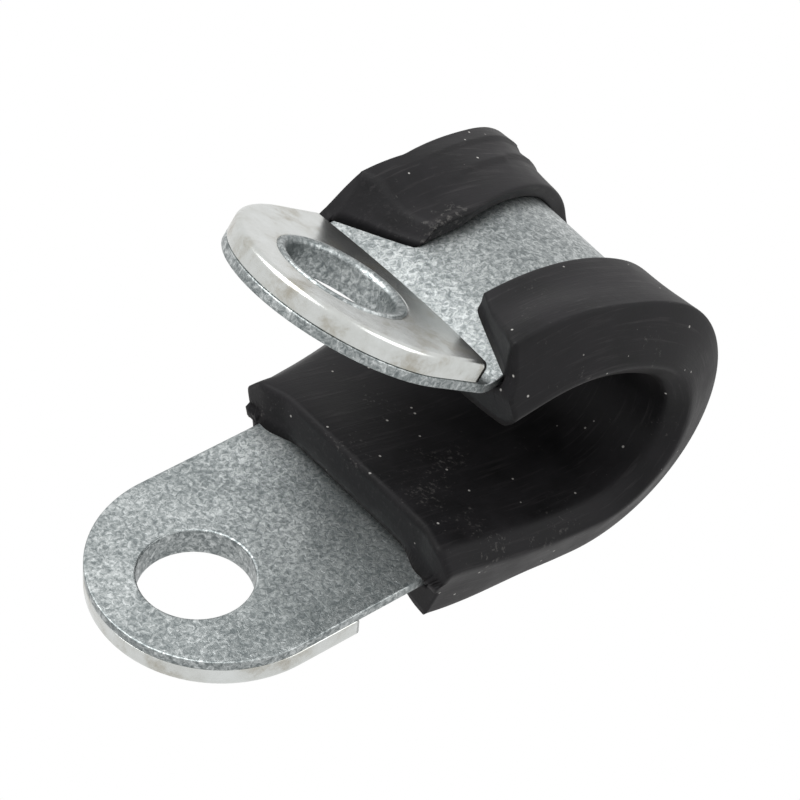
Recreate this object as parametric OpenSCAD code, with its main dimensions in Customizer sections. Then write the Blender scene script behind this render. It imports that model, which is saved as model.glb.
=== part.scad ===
// Rubber-lined P clip, sprung open: a steel band drawn round a loop, a reinforcing plate held on the
// outer face of each lug by a collar drawn out of the band, and a channel-section rubber liner whose
// lips wrap over the band's edges.
// Frame: origin on the axis of the lower screw hole, in the band's inner face; +X runs along the
// lower lug toward the loop, +Y along the loop's axis, +Z up toward the upper lug.

/* [Band] */
// Width of the steel band
band_w = 15; // [12:0.5:20]
// Thickness of the steel band
band_t = 0.6; // [0.5:0.05:0.8]

/* [Lugs] */
// Diameter of each screw hole
hole_d = 6.6; // [5.4:0.1:7]
// Distance from each hole's axis to the centre of the rounded end
end_offset = 1.6; // [0:0.1:2]
// Distance from the lower hole's axis to the first bend of the band
tail_l = 10; // [8:0.1:14]
// Angle of the upper lug to the lower one
open_angle = 34; // [20:1:50]
// Bare band left between the upper plate's inner end and the upper lug's bend
upper_gap = 0; // [0:0.1:2]
// Radius of the upper lug's bend, on the band's outer face
lug_bend_r = 0.9; // [0.6:0.1:2]

/* [Reinforcing plates] */
// Thickness of each plate
plate_t = 1.25; // [1:0.05:1.6]
// Distance from the lower hole's axis to the corners of its plate's inner end
lower_reach = 5.6; // [5:0.1:7]
// Distance from the upper hole's axis to the corners of its plate's inner end
upper_reach = 5; // [4.5:0.1:5.4]
// Bulge of each plate's inner end at its middle
plate_bow = 0.6; // [0.2:0.1:0.8]
// Width of the rolled edge on each plate's outer face
plate_roll = 0.35; // [0.1:0.05:0.5]

/* [Drawn collars] */
// Wall of the collar drawn out of the band through each plate
collar_wall = 0.4; // [0.3:0.05:0.5]
// Distance that each collar's mouth flares outward
collar_flare = 0.25; // [0.1:0.05:0.4]
// Height of each flared rim above its plate
collar_proud = 0.1; // [0.05:0.05:0.3]

/* [Loop] */
// Angle of the first bend, which drops the loop below the lower lug
dip_angle = 17.3; // [5:0.1:25]
// Radius of the first bend
dip_r = 5; // [3:0.5:8]
// Straight run after the first bend
dip_run = 2.1; // [1:0.1:4]
// Radius of the lower leg
lower_r = 40.6; // [30:0.2:60]
// Angle that the lower leg turns through
lower_angle = 11.6; // [6:0.1:20]
// Radius of the loop's closed end, on the band's inner face
loop_r = 7; // [6:0.1:12]
// Angle that the loop's closed end turns through
loop_angle = 150.5; // [140:0.5:160]
// Radius of the upper leg
upper_r = 14.9; // [12:0.1:30]
// Angle that the upper leg turns through
upper_angle = 42.2; // [30:0.1:50]
// Straight run before the upper lug's bend
upper_run = 2.25; // [1:0.05:4]

/* [Liner] */
// Thickness of the pad inside the loop, at its middle
pad_t = 2.7; // [2:0.05:3]
// Thickness of the pad at its shoulders
shoulder_t = 2.45; // [1.8:0.05:2.6]
// Distance from each shoulder to the liner's side
shoulder_in = 1; // [0.4:0.05:1.5]
// Width that the liner adds beyond each edge of the band
side_wall = 1.75; // [1:0.05:2.5]
// Height of the liner's widest line over the band's inner face
side_h = 1.15; // [0.5:0.05:1.8]
// Gap left beside each edge of the band in the liner's channel
channel_gap = 0.2; // [0.1:0.05:0.5]
// Width of each lip over the band's outer face, from the band's edge to its tip
lip_w = 4.7; // [2:0.1:5]
// Thickness of each lip at its tip
lip_tip_t = 1; // [0.6:0.05:1.5]
// Thickness of each lip's crest at the liner's ends
crest_end = 2.2; // [1.5:0.05:2.4]
// Thickness of each lip's crest round the loop, where it is drawn thinner
crest_loop = 1.4; // [1.2:0.05:2.2]
// Distance of each crest outside the band's edge
crest_out = 0.3; // [0:0.05:0.8]
// Distance that the liner's far side has crept off the band's edge round the loop
far_slide = 3.3; // [0:0.1:3.6]
// Distance that the far lip is sprung off the band at the loop's closed end
far_lift = 0.8; // [0:0.05:1.3]
// Distance from the lower hole's axis to the liner's lower end
liner_start = 10.45; // [10.1:0.05:11]
// Distance that the liner's upper end stops short of the upper lug's bend
liner_short = 0.5; // [0.2:0.05:2]
// Slant of the liner's upper end, back from the pad toward the lips
end_rake = 30; // [0:1:35]

/* [Hidden] */
$fn = 96;

lug_r = band_w / 2;
hole_r = hole_d / 2;
upper_l = upper_reach + plate_bow + upper_gap;      // from the upper hole's axis to its lug's bend
collar_r = hole_r + collar_wall;                    // hole in each plate, filled by its collar
collar_h = plate_t + collar_proud;
mouth_r = hole_r + collar_flare / 2;

// Path of the band's inner face in the XZ plane. A state is [position, heading], and a step bends
// with curvature k over length l; a left turn, with k above 0, is toward the inside of the loop.
function walk(s, k, l) = let (a = s[1] + k * l * 180 / PI)
    abs(k) < 1e-6 ? [s[0] + l * [cos(a), sin(a)], a]
    : [s[0] + [sin(a) - sin(s[1]), cos(s[1]) - cos(a)] / k, a];
function arc_l(r, a) = r * a * PI / 180;

// The upper lug's bend has the band's outer face on its inside, so the inner face turns wider.
bend_r = lug_bend_r + band_t;
heading_end = lower_angle + loop_angle + upper_angle - dip_angle;
bend_angle = heading_end - (180 - open_angle);

// Steps of the path as [curvature, length, facets]; the liner starts inside the first bend.
steps = [
    [0, tail_l, 1],
    [-1 / dip_r, liner_start - tail_l, 1],
    [-1 / dip_r, arc_l(dip_r, dip_angle) - (liner_start - tail_l), 3],
    [0, dip_run, 1],
    [1 / lower_r, arc_l(lower_r, lower_angle), 4],
    [1 / loop_r, arc_l(loop_r, loop_angle), 30],
    [1 / upper_r, arc_l(upper_r, upper_angle), 10],
    [0, upper_run, 1],
    [-1 / bend_r, arc_l(bend_r, bend_angle), 8],
    [0, upper_l + lug_r - end_offset, 1]];
function starts(i) = i == 0 ? [[0, 0], 0] : walk(starts(i - 1), steps[i - 1][0], steps[i - 1][1]);
function len_to(i) = i == 0 ? 0 : len_to(i - 1) + steps[i - 1][1];
i_bend = 8;                                 // the step that bends the upper lug
p_bend = starts(i_bend);
p_hole = walk(starts(i_bend + 1), 0, upper_l);
p_end = starts(i_bend + 2);

// Stations along the path as [position, heading, length so far].
first = starts(1);
stations = concat(
    [[first[0], first[1], tail_l]],
    [for (i = [1:i_bend], j = [1:steps[i][2]])
        let (l = steps[i][1] * j / steps[i][2], s = walk(starts(i), steps[i][0], l))
        [s[0], s[1], len_to(i) + l]]);
liner_stations = [for (s = stations) if (s[2] > liner_start - 0.001 && s[2] < len_to(i_bend) + 0.001) s];

// A point at height w over the inner face, toward the inside of the loop.
function over(s, w) = s[0] + w * [-sin(s[1]), cos(s[1])];

// Puts children where a state is, with +X along the path and +Z into the loop.
module at(p) translate([p[0][0], 0, p[0][1]]) rotate([0, -p[1], 0]) children();

// Stands a lug drawn seating side up, hole at the origin, in its place: the lower one hangs under
// the tail.
module lower_place() translate([0, 0, -band_t]) rotate([180, 0, 0]) children();
module upper_place() at(p_hole) translate([0, 0, -band_t]) rotate([0, 180, 0]) children();

// Collar drawn out of the band: its outside fills the plate's hole, and its mouth flares.
module collar_solid(foot) rotate_extrude() polygon([
    [0, -foot], [collar_r, -foot], [collar_r, plate_t - collar_flare], [collar_r + collar_flare, plate_t],
    [collar_r + collar_flare, collar_h], [0, collar_h]]);
module collar_bore() rotate_extrude() polygon([
    [0, -band_t - 1], [hole_r, -band_t - 1], [hole_r, plate_t - collar_flare],
    [mouth_r, collar_h], [mouth_r, collar_h + 1], [0, collar_h + 1]]);

// What is cut from a lug's square end to round it.
module end_corners() difference() {
    translate([end_offset - lug_r - 1, -lug_r - 1, -band_t - 1]) cube([lug_r + 1, band_w + 2, band_t + 2]);
    translate([end_offset, 0, -band_t - 2]) cylinder(r = lug_r + 0.01, h = band_t + 4);
}

// A reinforcing plate, with its outer edge rolled and its inner end slightly bowed.
module plate(reach) difference() {
    intersection() {
        union() {
            translate([end_offset, 0, 0]) rotate_extrude() polygon([
                [0, 0], [lug_r, 0], [lug_r, plate_t - plate_roll], [lug_r - plate_roll, plate_t],
                [0, plate_t]]);
            translate([end_offset, 0, 0]) rotate([90, 0, 90]) linear_extrude(lug_r + 1) polygon([
                [-lug_r, 0], [lug_r, 0], [lug_r, plate_t - plate_roll], [lug_r - plate_roll, plate_t],
                [plate_roll - lug_r, plate_t], [-lug_r, plate_t - plate_roll]]);
        }
        bow_r = (lug_r * lug_r + plate_bow * plate_bow) / (2 * plate_bow);
        translate([reach + plate_bow - bow_r, 0, -1]) cylinder(r = bow_r, h = plate_t + 2);
    }
    collar_solid(0.5);
}

// The steel band: one strip swept along the path, with its lug ends rounded, and both collars.
module band() color("#aeb3b4") difference() {
    union() {
        difference() {
            rotate([90, 0, 0]) linear_extrude(band_w, center = true) polygon(concat(
                [[end_offset - lug_r, 0]], [for (s = stations) s[0]], [over(p_end, 0)],
                [over(p_end, -band_t)],
                [for (i = [len(stations) - 1:-1:0]) over(stations[i], -band_t)],
                [[end_offset - lug_r, -band_t]]));
            lower_place() end_corners();
            upper_place() end_corners();
        }
        lower_place() collar_solid(band_t / 2);
        upper_place() collar_solid(band_t / 2);
    }
    lower_place() collar_bore();
    upper_place() collar_bore();
}

module lower_plate() color("#c3c6c6") lower_place() plate(lower_reach);
module upper_plate() color("#c3c6c6") upper_place() plate(upper_reach);

// The rubber liner: a pad inside the loop, a wall round each edge of the band and a lip over its
// outer face. Round the loop the lips are drawn thinner. The far side has crept outward there, so
// that its lip only just holds the band's edge, and at the closed end that lip springs off it.
side_y = lug_r + side_wall;
shoulder_y = side_y - shoulder_in;
tip_y = lug_r - lip_w;
crest_y = lug_r + crest_out;
channel_y = lug_r + channel_gap;
pad_round = 1.6;                            // width over which the pad rounds down to its shoulder
pad_fall = 0.05;                            // drop at the start of that rounding
crest_round = 0.1;                          // drop from the crest to its outer corner
crest_flat = 1.2;                           // width of the crest
side_flat = 0.35;                           // height of the flat along the widest line
side_drop = 1.2;                            // depth of the wall's taper below the widest line
side_tuck = 0.25;                           // width of that taper
tip_share = 0.8;                            // share of a sprung lip's lift that its tip takes
wall_share = 0.6;                           // share of that lift that the wall takes
fade_start = 1;                             // length of full section at the liner's lower end
fade_lower = 8;                             // length over which the lips thin out after it
fade_upper = 9;                             // length over which they thicken again toward the bend
slide_start = 0.9;                          // length at the lower end that has not crept
slide_lower = 11.5;                         // length over which the far side creeps out after it
slide_upper = 12.4;                         // length over which it creeps back toward the bend
slide_stop = 2.8;                           // length at the upper end that has not crept
lift_length = 20;                           // length round the closed end that the far lip springs over

// Smooth step from 0 to 1.
function ease(t) = let (u = max(0, min(1, t))) u * u * (3 - 2 * u);
// How far the section at length l has changed from the ends' full one to the loop's thin one.
function loopness(l) = ease((l - liner_start - fade_start) / fade_lower)
    * ease((len_to(i_bend) - l) / fade_upper);
// How far the far side has crept out at length l, and how far its lip has sprung off the band.
function slide_at(l) = far_slide * max(0, min(1,
    (l - liner_start - slide_start) / slide_lower,
    (len_to(i_bend) - slide_stop - l) / slide_upper));
function lift_at(l) = far_lift * ease(2 - 4 * abs(l - (len_to(5) + len_to(6)) / 2) / lift_length);

// Half of the section as [distance from the middle, height over the band's inner face], from the
// channel round the lip, up the wall and over the shoulder.
function half_section(slide, lift, crest) = let (
    tip = -band_t - tip_share * lift,
    bottom = -band_t - crest - lift)
    [for (p = [[channel_y, 0], [channel_y, -band_t], [tip_y, tip], [tip_y, tip - lip_tip_t],
        [crest_y - crest_flat, bottom], [crest_y, bottom + crest_round],
        [side_y - side_tuck, side_h - side_drop - wall_share * lift], [side_y, side_h - side_flat],
        [side_y, side_h], [shoulder_y, shoulder_t], [shoulder_y - pad_round, pad_t - pad_fall]])
        [p[0] + slide, p[1]]];
function section_at(l) = let (
    crest = crest_end + (crest_loop - crest_end) * loopness(l),
    far = half_section(slide_at(l), lift_at(l), crest),
    near = half_section(0, 0, crest))
    concat(far, [for (i = [len(near) - 1:-1:0]) [-near[i][0], near[i][1]]]);

module liner_sweep() {
    m = len(section_at(liner_start));
    n = len(liner_stations);
    points = [for (s = liner_stations, q = section_at(s[2])) let (p = over(s, q[1])) [p[0], q[0], p[1]]];
    ends = [[for (j = [0:m - 1]) j], [for (j = [m - 1:-1:0]) (n - 1) * m + j]];
    sides = [for (i = [0:n - 2], j = [0:m - 1]) let (a = i * m, b = a + m, k = (j + 1) % m)
        each [[a + k, a + j, b + j], [a + k, b + j, b + k]]];
    polyhedron(points, concat(ends, sides), convexity = 8);
}

// The upper end is cut on a slant, from the pad's corner back to the lips.
module liner() color("#2c2c2f") difference() {
    liner_sweep();
    at(p_bend) translate([-liner_short, 0, pad_t]) rotate([0, end_rake, 0])
        translate([0, -band_w, -band_w]) cube([band_w, 2 * band_w, 1.5 * band_w]);
}

band();
lower_plate();
upper_plate();
liner();
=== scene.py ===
"""Looks for a rubber-lined P clip: its zinc-plated band and plates, and its black rubber liner.

Every piece is drawn flat first, in strip coordinates: s along the band from the lower screw hole, y across
it, and w out of its inner face toward the inside of the loop. bend() then wraps it round the band's path.
Lengths are in millimetres until a mesh is made, and the model is in metres.
"""
import math

import bmesh
import bpy
import numpy as np
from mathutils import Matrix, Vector


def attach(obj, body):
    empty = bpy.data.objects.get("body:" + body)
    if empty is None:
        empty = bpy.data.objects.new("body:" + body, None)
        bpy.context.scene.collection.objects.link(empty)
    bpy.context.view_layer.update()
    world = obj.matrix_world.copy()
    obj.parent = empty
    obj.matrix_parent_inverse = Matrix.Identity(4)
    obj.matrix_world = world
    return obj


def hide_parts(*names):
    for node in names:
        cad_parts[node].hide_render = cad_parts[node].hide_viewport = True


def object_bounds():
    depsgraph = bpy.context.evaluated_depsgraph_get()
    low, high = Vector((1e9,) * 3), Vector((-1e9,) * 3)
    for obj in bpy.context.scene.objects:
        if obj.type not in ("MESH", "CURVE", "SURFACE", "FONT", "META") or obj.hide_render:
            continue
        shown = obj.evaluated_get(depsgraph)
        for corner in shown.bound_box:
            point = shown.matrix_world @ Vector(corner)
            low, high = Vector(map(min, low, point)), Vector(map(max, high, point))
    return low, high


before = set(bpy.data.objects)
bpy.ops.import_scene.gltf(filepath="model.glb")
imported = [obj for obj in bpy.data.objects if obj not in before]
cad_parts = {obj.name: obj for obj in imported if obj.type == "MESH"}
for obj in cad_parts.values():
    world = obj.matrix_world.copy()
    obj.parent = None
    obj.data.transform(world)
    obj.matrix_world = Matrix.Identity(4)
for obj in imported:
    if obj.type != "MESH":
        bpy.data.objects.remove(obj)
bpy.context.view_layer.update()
MM = 0.001

# ---------------------------------------------------------------- driving sizes, as in the solids
BAND_W, BAND_T = 15.0, 0.6
HOLE_R = 3.3
END_OFFSET = 1.6            # from each hole back to the centre of its lug's rounded end
TAIL_L = 10.0               # from the lower hole to the first bend
OPEN_ANGLE = 34.0
PLATE_T = 1.25
LOWER_REACH, UPPER_REACH, PLATE_BOW = 5.6, 5.0, 0.6
COLLAR_WALL, COLLAR_FLARE, COLLAR_PROUD = 0.4, 0.25, 0.1
PAD_T = 2.7
LINER_START = 10.45
HALF_W = BAND_W / 2

# The band's path as [length, curvature], where a left turn is toward the inside of the loop.
DIP_R, DIP_ANGLE, DIP_RUN = 5.0, 17.3, 2.1
LOWER_R, LOWER_ANGLE = 40.6, 11.6
LOOP_R, LOOP_ANGLE = 7.0, 150.5
UPPER_R, UPPER_ANGLE, UPPER_RUN = 14.9, 42.2, 2.25
LUG_BEND_R = 0.9 + BAND_T
LUG_BEND_ANGLE = LOWER_ANGLE + LOOP_ANGLE + UPPER_ANGLE - DIP_ANGLE - (180 - OPEN_ANGLE)
UPPER_L = UPPER_REACH + PLATE_BOW
TAIL_END = END_OFFSET - HALF_W
CONE = 0.033                # how far each millimetre toward the far side stands further out, over the loop
CONE_SPAN = (28, 37, 40, 50)            # where along the band that starts, is full, fades and ends
STEPS = [(TAIL_L - TAIL_END, 0.0)] + [
    (radius * math.radians(angle), turn / radius) if radius else (angle, 0.0)
    for radius, angle, turn in (
        (DIP_R, DIP_ANGLE, -1), (0, DIP_RUN, 0), (LOWER_R, LOWER_ANGLE, 1), (LOOP_R, LOOP_ANGLE, 1),
        (UPPER_R, UPPER_ANGLE, 1), (0, UPPER_RUN, 0), (LUG_BEND_R, LUG_BEND_ANGLE, -1),
        (0, UPPER_L + HALF_W - END_OFFSET, 0))]
LENGTHS = np.array([length for length, _ in STEPS])
CURVES = np.array([curve for _, curve in STEPS])
S_KNOTS = TAIL_END + np.concatenate([[0.0], np.cumsum(LENGTHS)])
S_BEND = S_KNOTS[7]         # where the upper lug's bend starts
S_UPPER_HOLE = S_KNOTS[8] + UPPER_L
S_END = S_KNOTS[9]


def run(x, z, heading, curve, length):
    """Walks one arc: the position gains the integral of the heading's cosine and sine, which for a
    curve k is the change of sine over k and of minus cosine over k, and for none is the length."""
    k = np.where(np.abs(curve) < 1e-9, 1e-9, curve)
    turned = heading + k * length
    return (x + (np.sin(turned) - np.sin(heading)) / k, z + (np.cos(heading) - np.cos(turned)) / k, turned)


KNOTS = [(TAIL_END, 0.0, 0.0)]
for length, curve in STEPS:
    KNOTS.append(tuple(float(v) for v in run(*KNOTS[-1], curve, length)))
KNOTS = np.array(KNOTS)


def hill(s, start, top, end, stop):
    """Rises smoothly from 0 at start to 1 at top, and falls from 1 at end to 0 at stop."""
    return ease((s - start) / (top - start)) * ease((stop - s) / (stop - end))


def bend(s, y, w):
    """Strip coordinates to the frame: walk along the path for s, then step w along its normal, which
    is the heading turned a quarter left. y stays. The loop is slightly conical: over its top, the far
    side stands further out than the near one, by CONE for each millimetre across."""
    w = w - CONE * (y + 6) * hill(s, *CONE_SPAN)
    i = np.clip(np.searchsorted(S_KNOTS, s, side="right") - 1, 0, len(STEPS) - 1)
    x, z, heading = run(KNOTS[i, 0], KNOTS[i, 1], KNOTS[i, 2], CURVES[i], s - S_KNOTS[i])
    return np.stack([x - w * np.sin(heading), y, z + w * np.cos(heading)], -1)


def ease(t):
    """Smooth step: 3t^2 - 2t^3 between 0 and 1."""
    t = np.clip(t, 0, 1)
    return t * t * (3 - 2 * t)


# ---------------------------------------------------------------- meshes from patches
def grid(rows, cols, closed_rows=False, closed_cols=False):
    """Quads over a grid of points numbered row by row, joined round where a side is closed."""
    r = np.arange(rows if closed_rows else rows - 1)[:, None]
    c = np.arange(cols if closed_cols else cols - 1)[None, :]
    r1, c1 = (r + 1) % rows, (c + 1) % cols
    quads = np.stack([r * cols + c, r * cols + c1, r1 * cols + c1, r1 * cols + c], -1)
    return quads.reshape(-1, 4)


def build(name, patches, node, material):
    """Welds patches of strip coordinates into one closed piece: equal points, to a hundredth of a
    micrometre, become one, the points are bent into place, and the faces are turned outward. The
    strip coordinates stay on the mesh as the attribute "strip", in metres."""
    points, faces, count = [], [], 0
    for patch, closed in patches:
        rows, cols = patch.shape[:2]
        faces.append(grid(rows, cols, closed_cols=closed) + count)
        points.append(patch.reshape(-1, 3))
        count += rows * cols
    points, faces = np.concatenate(points), np.concatenate(faces)
    _, first, back = np.unique(np.round(points / 1e-5).astype(np.int64), axis=0, return_index=True,
                               return_inverse=True)
    points, faces = points[first], back.reshape(-1)[faces]
    mesh = bpy.data.meshes.new(name)
    corners = [tuple(dict.fromkeys(f)) for f in faces.tolist() if len(set(f)) > 2]
    mesh.from_pydata((bend(*points.T) * MM).tolist(), [], corners)
    strip = mesh.attributes.new("strip", "FLOAT_VECTOR", "POINT")
    strip.data.foreach_set("vector", (points * MM).astype(np.float32).ravel())
    mesh.update()
    work = bmesh.new()
    work.from_mesh(mesh)
    bmesh.ops.recalc_face_normals(work, faces=work.faces)
    work.to_mesh(mesh)
    work.free()
    mesh.shade_smooth()
    mesh.materials.append(material)
    piece = bpy.data.objects.new(name, mesh)
    bpy.context.scene.collection.objects.link(piece)
    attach(piece, "root")
    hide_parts(node)
    return piece


def arc(cx, cz, radius, start, end, count):
    """Points on a circle's arc, from one angle to the other, in degrees."""
    angle = np.radians(np.linspace(start, end, count))
    return np.stack([cx + radius * np.cos(angle), cz + radius * np.sin(angle)], -1)


# ---------------------------------------------------------------- lugs
# A lug is drawn in its own coordinates: u from its hole toward the loop, and v across.
CUT_U = 5.4                 # where the lug's ring of faces meets the strip's rows
CUT_N, SIDE_N, ARC_N, RING_N = 28, 14, 64, 14


def lug_strip(u, v, w, upper):
    """Lug coordinates to strip coordinates: the upper lug runs back from its hole."""
    s = S_UPPER_HOLE - u if upper else u
    return np.stack(np.broadcast_arrays(s, v, w), -1)


def lug_outline(half_w, cut, bow, cut_inset=0.0):
    """The outline of a lug: across its inner end, which bulges by bow, then down one straight side,
    round the end's half circle and up the other side. Each stretch keeps its number of points."""
    v = np.linspace(-half_w, half_w, CUT_N + 1)
    across = np.stack([cut + bow * (1 - (v / HALF_W) ** 2) - cut_inset, v], -1)
    u_side = np.linspace(across[-1, 0], END_OFFSET, SIDE_N + 1)
    side = np.stack([u_side, np.full(SIDE_N + 1, half_w)], -1)
    end = arc(END_OFFSET, 0, half_w, 90, 270, ARC_N + 1)
    return np.concatenate([across, side[1:], end[1:], side[::-1][1:-1] * (1, -1)])


def ring_round(outline, radius):
    """The point of a circle round the hole that lies on the way to each point of the outline."""
    return outline / np.linalg.norm(outline, axis=1)[:, None] * radius


def web(inner, outer, w, upper):
    """A flat face between two loops, as RING_N rows that crowd toward the hole."""
    t = (np.linspace(0, 1, RING_N) ** 1.3)[:, None, None]
    flat = inner + t * (outer - inner)
    return lug_strip(flat[..., 0], flat[..., 1], w, upper)


def rounded(radius, support, facets=4):
    """A rounded edge as [inset, drop] pairs, from the flat down onto the wall: a quarter circle with
    one more point on each side, so that the faces beside it stay flat when they are smoothed."""
    turn = arc(radius, -radius, radius, 90, 180, facets + 1)
    return np.concatenate([[[radius + support, 0.0]], turn, [[0.0, -radius - support]]])


# ---------------------------------------------------------------- the band
EDGE_R, EDGE_SUPPORT = 0.1, 0.05
ENTRY_R = 0.14              # where the collar turns out of the band's inner face
MOUTH_R = 0.36              # of the flare in the collar's mouth
COLLAR_R = HOLE_R + COLLAR_WALL
PLATE_W = -BAND_T - PLATE_T             # height of the plates' outer faces
LIP_TOP = PLATE_W - COLLAR_PROUD


def band_edge():
    """The band's edge as [inset, w]: rounded over both faces."""
    top = rounded(EDGE_R, EDGE_SUPPORT)
    return np.concatenate([top, (top * (1, -1) + (0, -BAND_T))[::-1]])


def collar_profile():
    """The drawn collar as [radius, w]: it turns down out of the inner face, runs straight through
    the plate, flares into a rounded rim that stands just proud, and comes back up its outside."""
    entry = rounded(ENTRY_R, EDGE_SUPPORT) + (HOLE_R, 0)
    wall = [[HOLE_R, w] for w in np.linspace(-0.4, PLATE_W + COLLAR_FLARE + 0.1, 8)]
    flare = arc(HOLE_R + MOUTH_R, PLATE_W + COLLAR_FLARE + 0.02, MOUTH_R, 180, 250, 7)
    rim = arc(COLLAR_R + 0.02, LIP_TOP + 0.14, 0.14, 262, 360, 6)
    back = [[COLLAR_R + COLLAR_FLARE, PLATE_W + 0.01], [COLLAR_R, PLATE_W + COLLAR_FLARE],
            [COLLAR_R, -BAND_T - 0.2], [COLLAR_R, -BAND_T]]
    return np.concatenate([entry, wall, flare, rim, back])


def revolve(profile, outline, upper):
    """A profile of [radius, w] carried round the hole, with one column for each outline point."""
    ray = ring_round(outline, 1.0)
    flat = profile[:, None, :1] * ray[None]
    return lug_strip(flat[..., 0], flat[..., 1], profile[:, None, 1], upper)


def band_lug(upper):
    """One lug of the band: both faces, its outer edge and its collar."""
    edge, collar = band_edge(), collar_profile()
    outline = lug_outline(HALF_W - edge[0, 0], CUT_U, 0.0)
    faces = [web(ring_round(outline, radius), outline, w, upper)
             for radius, w in (collar[0], collar[-1])]
    rows = [lug_outline(HALF_W - inset, CUT_U, 0.0)[CUT_N:] for inset, _ in edge]
    rim = np.stack([np.concatenate([row, lug_outline(HALF_W - inset, CUT_U, 0.0)[:1]])
                    for row, (inset, _) in zip(rows, edge)])
    rim = lug_strip(rim[..., 0], rim[..., 1], edge[:, None, 1], upper)
    return [(faces[0], True), (faces[1], True), (revolve(collar, outline, upper), True), (rim, False)]


def strip_stations(start, stop, pitch):
    """Lengths along the path from start to stop: evenly spaced inside each step of the path."""
    stops = np.unique(np.clip(S_KNOTS, start, stop))
    return np.unique(np.concatenate([
        np.linspace(a, b, max(2, math.ceil((b - a) / pitch) + 1)) for a, b in zip(stops[:-1], stops[1:])]))


def make_band(material):
    """The band: both lugs with their collars, and between them the strip's two faces and two edges."""
    edge = band_edge()
    s = strip_stations(CUT_U, S_UPPER_HOLE - CUT_U, 0.3)[:, None]
    y = np.linspace(-HALF_W + edge[0, 0], HALF_W - edge[0, 0], CUT_N + 1)[None]
    patches = band_lug(False) + band_lug(True)
    for w in (0.0, -BAND_T):
        patches.append((np.stack(np.broadcast_arrays(s, y, w), -1), False))
    for side in (-1, 1):
        patches.append((np.stack(np.broadcast_arrays(
            s, side * (HALF_W - edge[None, :, 0]), edge[None, :, 1]), -1), False))
    return build("zinc_band", patches, "band", material)


# ---------------------------------------------------------------- the reinforcing plates
ROLL, SEAM, CHORD = 0.35, 0.12, 0.06


def plate_edge():
    """A plate's edge as [inset at the outer edge, inset at the inner end, w]: rolled over the outer
    face, slightly crowned down the wall and rounded at the seam."""
    roll = rounded(ROLL, 0.06, 8)
    seam = rounded(SEAM, 0.04)[::-1]
    roll_rows = np.column_stack([roll[:, 0], roll[:, 0] * CHORD / ROLL, PLATE_W - roll[:, 1]])
    seam_rows = np.column_stack([seam[:, 0], seam[:, 0] * CHORD / SEAM, -BAND_T + seam[:, 1]])
    return np.concatenate([roll_rows, seam_rows])


def make_plate(name, node, upper, reach, material):
    """A reinforcing plate: its wall, the bore that its collar fills, and its two faces."""
    edge = plate_edge()
    loops = [lug_outline(HALF_W - outer, reach, PLATE_BOW, end) for outer, end, _ in edge]
    wall = np.stack(loops)
    wall = lug_strip(wall[..., 0], wall[..., 1], edge[:, None, 2], upper)
    bore = np.array([[COLLAR_R + COLLAR_FLARE + 0.02, PLATE_W], [COLLAR_R + 0.02, PLATE_W + COLLAR_FLARE],
                     [COLLAR_R + 0.02, -BAND_T - 0.05], [COLLAR_R + 0.07, -BAND_T]])
    outer = web(ring_round(loops[0], bore[0, 0]), loops[0], PLATE_W, upper)
    inner = web(ring_round(loops[0], bore[-1, 0]), loops[-1], -BAND_T, upper)
    patches = [(wall, True), (revolve(bore, loops[0], upper), True), (outer, True), (inner, True)]
    return build(name, patches, node, material)


# ---------------------------------------------------------------- the rubber liner
FLAT_W = -BAND_T
LIP_W, CREST_END, CREST_LOOP = 4.7, 2.2, 1.35
FAR_SLIDE, FAR_LIFT = 3.3, 0.8
SLIDE_START, SLIDE_LOWER = 0.9, 11.5        # from the lower end to the creep, and to its full width
SLIDE_STOP, SLIDE_UPPER = 2.8, 12.4         # the same at the upper end
LIFT_SPAN = (18, 23, 33, 39)                # where along the band the far lip's lift starts, is full and ends
STEP_FALL = 0.9                             # width over which each step along the far lip fades out
TIP_Y, CHANNEL_Y, SIDE_Y = HALF_W - LIP_W, HALF_W + 0.2, HALF_W + 1.7
STATION_PITCH, SECTION_N, CAP_N = 0.3, 8, 6
STEP_Y, STEP_H = (5.0, 6.7), 0.16         # two drawn steps along the far lip, in the unslid section


def spline(keys, per_key):
    """A smooth curve near a row of key points: the uniform cubic B-spline, whose ends are pinned by
    repeating the first and last key. The keys are the first axis."""
    padded = np.concatenate([keys[:1], keys[:1], keys, keys[-1:], keys[-1:]])
    n = len(padded) - 3
    t = np.linspace(0, n, n * per_key + 1)
    i = np.minimum(t.astype(int), n - 1)
    t = (t - i).reshape(-1, *[1] * (keys.ndim - 1))
    basis = ((1 - t) ** 3, 3 * t ** 3 - 6 * t ** 2 + 4, -3 * t ** 3 + 3 * t ** 2 + 3 * t + 1, t ** 3)
    return sum(b * padded[i + j] for j, b in enumerate(basis)) / 6


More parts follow.
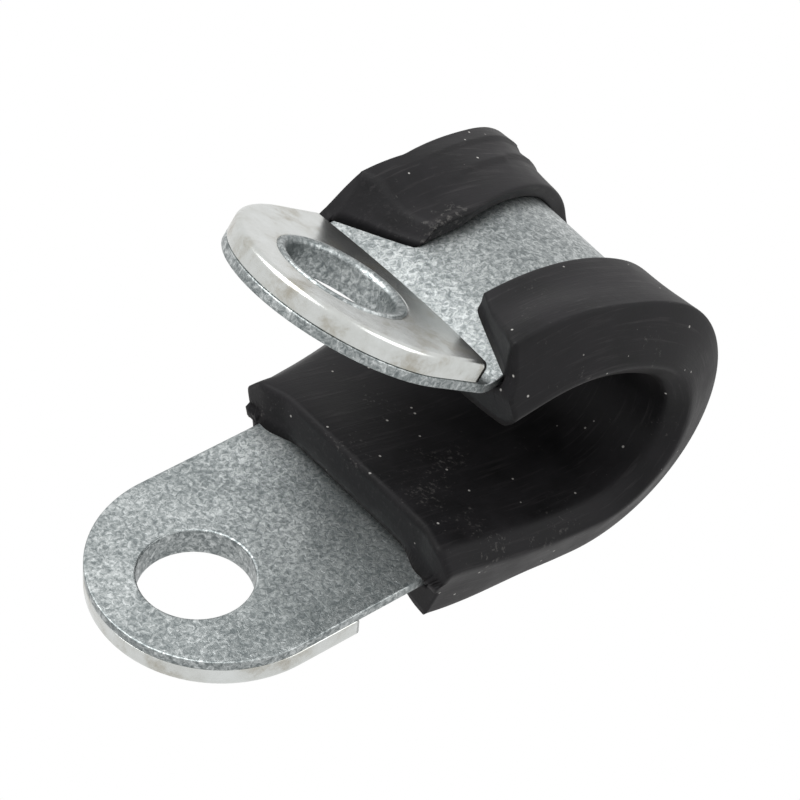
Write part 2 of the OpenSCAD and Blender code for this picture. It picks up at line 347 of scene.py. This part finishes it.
def half_section(slide, lift, crest):
    """Half of the liner's section, from its middle to the lip's tip, as pairs of [y, w] on the inner
    contour, along the band, and on the outer one. The side may have slid outward, and its lip may
    be lifted off the band."""
    tip = FLAT_W - 0.8 * lift
    low = FLAT_W - crest - lift
    wall = -0.6 * lift
    side = SIDE_Y - 0.08
    keys = np.array([
        [0, 0, 0, PAD_T], [3.3, 0, 3.3, PAD_T], [6.2, 0, 6.2, PAD_T - 0.03], [7.1, 0, 7.75, 2.58],
        [7.4, 0, 8.2, 2.45], [7.6, -0.02, 8.45, 2.25], [CHANNEL_Y, -0.1, 8.85, 1.75],
        [CHANNEL_Y, -0.25, side, 1.45], [CHANNEL_Y, -0.35, side, 1.1],
        [CHANNEL_Y, -0.5, side - 0.45, 0.1 + wall], [CHANNEL_Y - 0.05, FLAT_W, 8.15, 0.6 * low + 0.4 * wall],
        [7.4, FLAT_W, 7.85, low + 0.12], [7.2, FLAT_W - 0.2 * lift, 7.7, low - 0.05],
        [6.9, FLAT_W - 0.35 * lift, 7.5, low],
        [6.2, FLAT_W - 0.5 * lift, 6.5, low + 0.1], [4.6, tip, 4.8, tip - 1.05], [3.2, tip, 3.2, tip - 1.0],
        [TIP_Y + 0.06, tip - 0.02, TIP_Y + 0.08, tip - 0.98], [TIP_Y, tip - 0.12, TIP_Y, tip - 0.85]])
    keys[:, 0::2] += slide * np.clip(keys[:, 0::2] / 7.0, 0, 1)
    keys[-4:, 0::2] += slide * (1 - keys[-4:, 0::2].clip(0, 7) / 7.0) * (slide > 0)
    return keys


def lower_set(y, w):
    """How far past its start the liner's lower end is cut, at a point of its section."""
    pad = 0.3 - 0.75 * ease((np.abs(y) - 4.5) / 2.5)
    return np.where(w > 0.3, 0.15 - 0.3 * ease((np.abs(y) - 6) / 2), np.where(w > -0.3, pad, -0.1))


def upper_set(y, w, side):
    """How far short of the lug's bend its upper end is cut."""
    under = np.clip((FLAT_W - w) / 2.0, 0, 1)
    inward = np.clip((7.5 - np.abs(y)) / 4.7, 0, 1)
    wrap = ease((0.2 - w) / 1.0)
    near = 0.2 + 0.6 * wrap + wrap * (0.5 * under + 2.2 * inward)
    far = 0.2 + 0.8 * wrap + wrap * (2.1 * under + 2.4 * inward)
    return np.where(side > 0, far, near) * np.where(w > 0.5, 0.4 + 0.6 * ease((np.abs(y) - 5) / 4), 1)


def make_liner(material):
    """The liner: the section swept along the band, with both halves built from key points that blend
    from station to station, closed by its inner and outer contours, its lip tips and its two ends."""
    count = math.ceil((S_BEND - LINER_START) / STATION_PITCH) + 1
    t = np.linspace(0, 1, count)
    s_mid = LINER_START + t * (S_BEND - LINER_START)
    loop = ease((s_mid - LINER_START - 1) / 8) * ease((S_BEND - s_mid) / 9)
    crest = CREST_END + (CREST_LOOP - CREST_END) * loop
    creeping = (s_mid - LINER_START - SLIDE_START) / SLIDE_LOWER
    returning = (S_BEND - SLIDE_STOP - s_mid) / SLIDE_UPPER
    slide = FAR_SLIDE * np.clip(np.minimum(creeping, returning), 0, 1)
    lift = FAR_LIFT * hill(s_mid, *LIFT_SPAN)
    halves = []
    for side, slid, lifted in ((1, slide, lift), (-1, 0 * slide, 0 * lift)):
        keys = np.stack([half_section(a, b, c) for a, b, c in zip(slid, lifted, crest)], 1)
        keys[..., 0::2] *= side
        halves.append(keys)
    keys = np.concatenate([halves[1][:0:-1], halves[0]])
    curve = spline(keys, SECTION_N)                    # samples, stations, [y, w] inside and outside
    inner, outer = curve[..., :2], curve[..., 2:]
    for step in STEP_Y:
        past = (outer[..., 0] - slide - step) / STEP_FALL
        rise = STEP_H * np.where(past < 0, 0, np.clip(1 - past, 0, 1))
        outer[..., 1] -= rise * loop * (outer[..., 1] < FLAT_W - 0.4)
    across = np.linspace(0, 1, CAP_N)[:, None, None, None]
    body = inner + across * (outer - inner)            # cap rows, samples, stations, [y, w]
    y, w = body[..., 0], body[..., 1]
    start = LINER_START + lower_set(y[..., :1], w[..., :1])
    stop = S_BEND - upper_set(y[..., -1:], w[..., -1:], np.sign(y[..., -1:]))
    s = start + t * (stop - start)
    solid = np.stack([s, y, w], -1)
    patches = [(solid[0], False), (solid[-1], False), (solid[:, 0], False), (solid[:, -1], False),
               (solid[:, :, 0], False), (solid[:, :, -1], False)]
    return build("rubber_liner", patches, "liner", material)


# ---------------------------------------------------------------- materials
def linear(code):
    """An sRGB hex colour as linear red, green and blue."""
    c = np.array([int(code[i:i + 2], 16) for i in (1, 3, 5)]) / 255
    return tuple(np.where(c <= 0.04045, c / 12.92, ((c + 0.055) / 1.055) ** 2.4)) + (1.0,)


def material(name):
    """A new node material and its shader."""
    made = bpy.data.materials.new(name)
    made.use_nodes = True
    return made, made.node_tree.nodes["Principled BSDF"]


def node(tree, kind, settings=None, **links):
    """Adds a node. Settings are its properties, or its sockets' values by name or number; links go
    from an output to its sockets, by name with spaces as underscores, or by number after an i."""
    added = tree.nodes.new("ShaderNode" + kind)
    for key, value in (settings or {}).items():
        if isinstance(key, int) or key in added.inputs:
            added.inputs[key].default_value = value
        else:
            setattr(added, key, value)
    for key, output in links.items():
        socket = int(key[1:]) if key[1:].isdigit() else key.replace("_", " ")
        tree.links.new(output, added.inputs[socket])
    return added


def ramp(tree, fac, *stops):
    """A colour ramp from (position, sRGB hex or grey value) stops."""
    added = node(tree, "ValToRGB", Fac=fac)
    elements = added.color_ramp.elements
    while len(elements) < len(stops):
        elements.new(1.0)
    for element, (position, colour) in zip(elements, stops):
        element.position = position
        element.color = linear(colour) if isinstance(colour, str) else (colour, colour, colour, 1)
    return added.outputs["Color"]


def mixed(tree, fac, low, high, blend="MIX"):
    """Blends two colours, each an sRGB hex value or an output."""
    added = node(tree, "Mix", {"data_type": "RGBA", "blend_type": blend}, i0=fac)
    for number, colour in ((6, low), (7, high)):
        if isinstance(colour, str):
            added.inputs[number].default_value = linear(colour)
        else:
            tree.links.new(colour, added.inputs[number])
    return added.outputs[2]


def noise(tree, place, size, **settings):
    """Noise whose spots are about size millimetres across."""
    return node(tree, "TexNoise", {"Scale": 1 / (size * MM), **settings}, Vector=place).outputs["Fac"]


def link(tree, shader, **outputs):
    """Links outputs to the shader's sockets, by name with spaces as underscores."""
    for name, output in outputs.items():
        tree.links.new(output, shader.inputs[name.replace("_", " ")])


def zinc_band_material():
    """Zinc-plated spring steel, rolled and barrel plated: crystals of zinc about 0.3 mm across
    reflect at slightly different tilts, so it looks cloudy and speckled, with no mirror image."""
    made, shader = material("zinc_plated_strip")
    tree = made.node_tree
    place = node(tree, "TexCoord").outputs["Object"]
    grain = noise(tree, place, 0.3, Detail=5.0, Roughness=0.7, Distortion=0.8)
    fine = noise(tree, place, 0.12, Detail=2.0)
    cloud = noise(tree, place, 4, Detail=2.0)
    tone = node(tree, "Math", {"operation": "MULTIPLY_ADD", 1: 0.25}, i0=cloud, i2=grain).outputs[0]
    base = ramp(tree, tone, (0.5, "#6c7273"), (0.64, "#969b9b"), (0.78, "#c4c8c8"))
    rough = ramp(tree, grain, (0.35, 0.46), (0.65, 0.34))
    height = node(tree, "Math", {"operation": "MULTIPLY_ADD", 1: 0.4}, i0=fine, i2=grain).outputs[0]
    relief = node(tree, "Bump", {"Strength": 0.7, "Distance": 0.03 * MM}, Height=height)
    link(tree, shader, Base_Color=base, Roughness=rough, Normal=relief.outputs["Normal"])
    shader.inputs["Metallic"].default_value = 1.0
    return made


def zinc_plate_material():
    """Zinc-plated steel, tumbled smooth before plating: a soft satin mirror with faint stains."""
    made, shader = material("zinc_plated_washer_plate")
    tree = made.node_tree
    place = node(tree, "TexCoord").outputs["Object"]
    stain = noise(tree, place, 2.5, Detail=5.0, Roughness=0.65)
    base = ramp(tree, stain, (0.34, "#a9a69c"), (0.48, "#c6c8c5"), (0.7, "#d3d6d5"))
    rough = ramp(tree, stain, (0.3, 0.27), (0.7, 0.17))
    pits = noise(tree, place, 0.7, Detail=5.0, Roughness=0.6)
    relief = node(tree, "Bump", {"Strength": 0.2, "Distance": 0.03 * MM}, Height=pits)
    link(tree, shader, Base_Color=base, Roughness=rough, Normal=relief.outputs["Normal"])
    shader.inputs["Metallic"].default_value = 1.0
    return made


def rubber_material():
    """Extruded EPDM rubber: near black and satin. It carries fine lines along its extrusion, a thin
    brown-grey bloom that shows at a low angle, and pale specks of dust and short scratches."""
    made, shader = material("epdm_rubber")
    tree = made.node_tree
    place = node(tree, "TexCoord").outputs["Object"]
    strip = node(tree, "Attribute", {"attribute_name": "strip"}).outputs["Vector"]
    along = node(tree, "Mapping", {"Scale": (0.06, 1.0, 1.0)}, Vector=strip).outputs["Vector"]
    cloud = noise(tree, place, 3, Detail=5.0, Roughness=0.6)
    lines = noise(tree, along, 0.3, Detail=4.0, Roughness=0.7)
    dust = noise(tree, place, 0.3, Detail=4.0, Roughness=0.7)
    patches = noise(tree, place, 5, Detail=2.0)
    base = ramp(tree, cloud, (0.3, "#131314"), (0.7, "#212022"))
    streak = ramp(tree, lines, (0.55, 0.0), (0.75, 0.55))
    base = mixed(tree, streak, base, "#3a3839")
    gate = node(tree, "Math", {"operation": "MULTIPLY"}, i0=dust, i1=patches).outputs[0]
    base = mixed(tree, ramp(tree, gate, (0.36, 0.0), (0.46, 0.55)), base, "#6a6866")
    fleck = node(tree, "TexVoronoi", {"Scale": 1 / (1.3 * MM)}, Vector=place).outputs["Distance"]
    base = mixed(tree, ramp(tree, fleck, (0.04, 0.9), (0.07, 0.0)), base, "#b9b7b3")
    height = node(tree, "Math", {"operation": "MULTIPLY_ADD", 1: 0.5}, i0=dust, i2=lines).outputs[0]
    relief = node(tree, "Bump", {"Strength": 0.5, "Distance": 0.03 * MM}, Height=height)
    rough = ramp(tree, cloud, (0.3, 0.44), (0.7, 0.6))
    link(tree, shader, Base_Color=base, Roughness=rough, Normal=relief.outputs["Normal"])
    shader.inputs["IOR"].default_value = 1.5
    shader.inputs["Specular IOR Level"].default_value = 0.14
    shader.inputs["Sheen Weight"].default_value = 0.02
    shader.inputs["Sheen Roughness"].default_value = 0.4
    shader.inputs["Sheen Tint"].default_value = linear("#c9b9ae")
    return made


# ---------------------------------------------------------------- the room
LAMP_SIZE = 0.3             # metres


def seen_rays(tree):
    """1 for camera, glossy and transmission rays, which see the room as white, and 0 for the rest."""
    path = node(tree, "LightPath").outputs
    seen = node(tree, "Math", {"operation": "MAXIMUM"}, i0=path["Is Camera Ray"], i1=path["Is Glossy Ray"])
    return node(tree, "Math", {"operation": "MAXIMUM"}, i0=seen.outputs[0],
                i1=path["Is Transmission Ray"]).outputs[0]


def make_room():
    """A pale floor under the clip, a white surround, and two soft lamps."""
    low = float(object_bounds()[0][2])
    mesh = bpy.data.meshes.new("floor")
    mesh.from_pydata([(-1, -1, low), (1, -1, low), (1, 1, low), (-1, 1, low)], [], [(0, 1, 2, 3)])
    floor = bpy.data.objects.new("floor", mesh)
    bpy.context.scene.collection.objects.link(floor)
    made, shader = material("white_paper")
    tree = made.node_tree
    shader.inputs["Base Color"].default_value = linear("#e8e8e8")
    shader.inputs["Roughness"].default_value = 0.9
    mesh.materials.append(made)
    white = node(tree, "Emission", {"Color": (1, 1, 1, 1), "Strength": 1.0})
    mix = node(tree, "MixShader", i0=seen_rays(tree), i1=shader.outputs[0], i2=white.outputs[0])
    tree.links.new(mix.outputs[0], tree.nodes["Material Output"].inputs["Surface"])

    world = bpy.data.worlds.new("studio")
    bpy.context.scene.world = world
    world.use_nodes = True
    tree = world.node_tree
    soft = node(tree, "Background", {"Color": (1, 1, 1, 1), "Strength": 0.45})
    white = node(tree, "Background", {"Color": (1, 1, 1, 1), "Strength": 1.0})
    mix = node(tree, "MixShader", i0=seen_rays(tree), i1=soft.outputs[0], i2=white.outputs[0])
    tree.links.new(mix.outputs[0], tree.nodes["World Output"].inputs["Surface"])

    for name, place, power in (("key", (-0.1, 0.12, 0.35), 1.6), ("fill", (0.25, -0.25, 0.25), 0.5)):
        lamp = bpy.data.lights.new(name, "AREA")
        lamp.size, lamp.energy = LAMP_SIZE, power
        holder = bpy.data.objects.new(name, lamp)
        bpy.context.scene.collection.objects.link(holder)
        holder.location = place
        holder.rotation_euler = (-Vector(place)).to_track_quat("-Z", "Y").to_euler()


CAMERA_AT = (-81.02, -103.29, 140.15)
CAMERA_TURN = (46.075, -3.951, -38.795)
CAMERA_LENS = 156.67


def make_camera():
    """The camera: a long lens from above the lower lug's near side."""
    lens = bpy.data.cameras.new("camera")
    lens.lens, lens.sensor_width = CAMERA_LENS, 36.0
    lens.clip_start, lens.clip_end = 0.01, 10.0
    camera = bpy.data.objects.new("camera", lens)
    bpy.context.scene.collection.objects.link(camera)
    camera.location = [v * MM for v in CAMERA_AT]
    camera.rotation_euler = [math.radians(v) for v in CAMERA_TURN]
    bpy.context.scene.camera = camera


make_camera()
make_band(zinc_band_material())
plate_finish = zinc_plate_material()
make_plate("lower_washer_plate", "lower_plate", False, LOWER_REACH, plate_finish)
make_plate("upper_washer_plate", "upper_plate", True, UPPER_REACH, plate_finish)
make_liner(rubber_material())
make_room()
bpy.context.scene.view_settings.view_transform = "Standard"
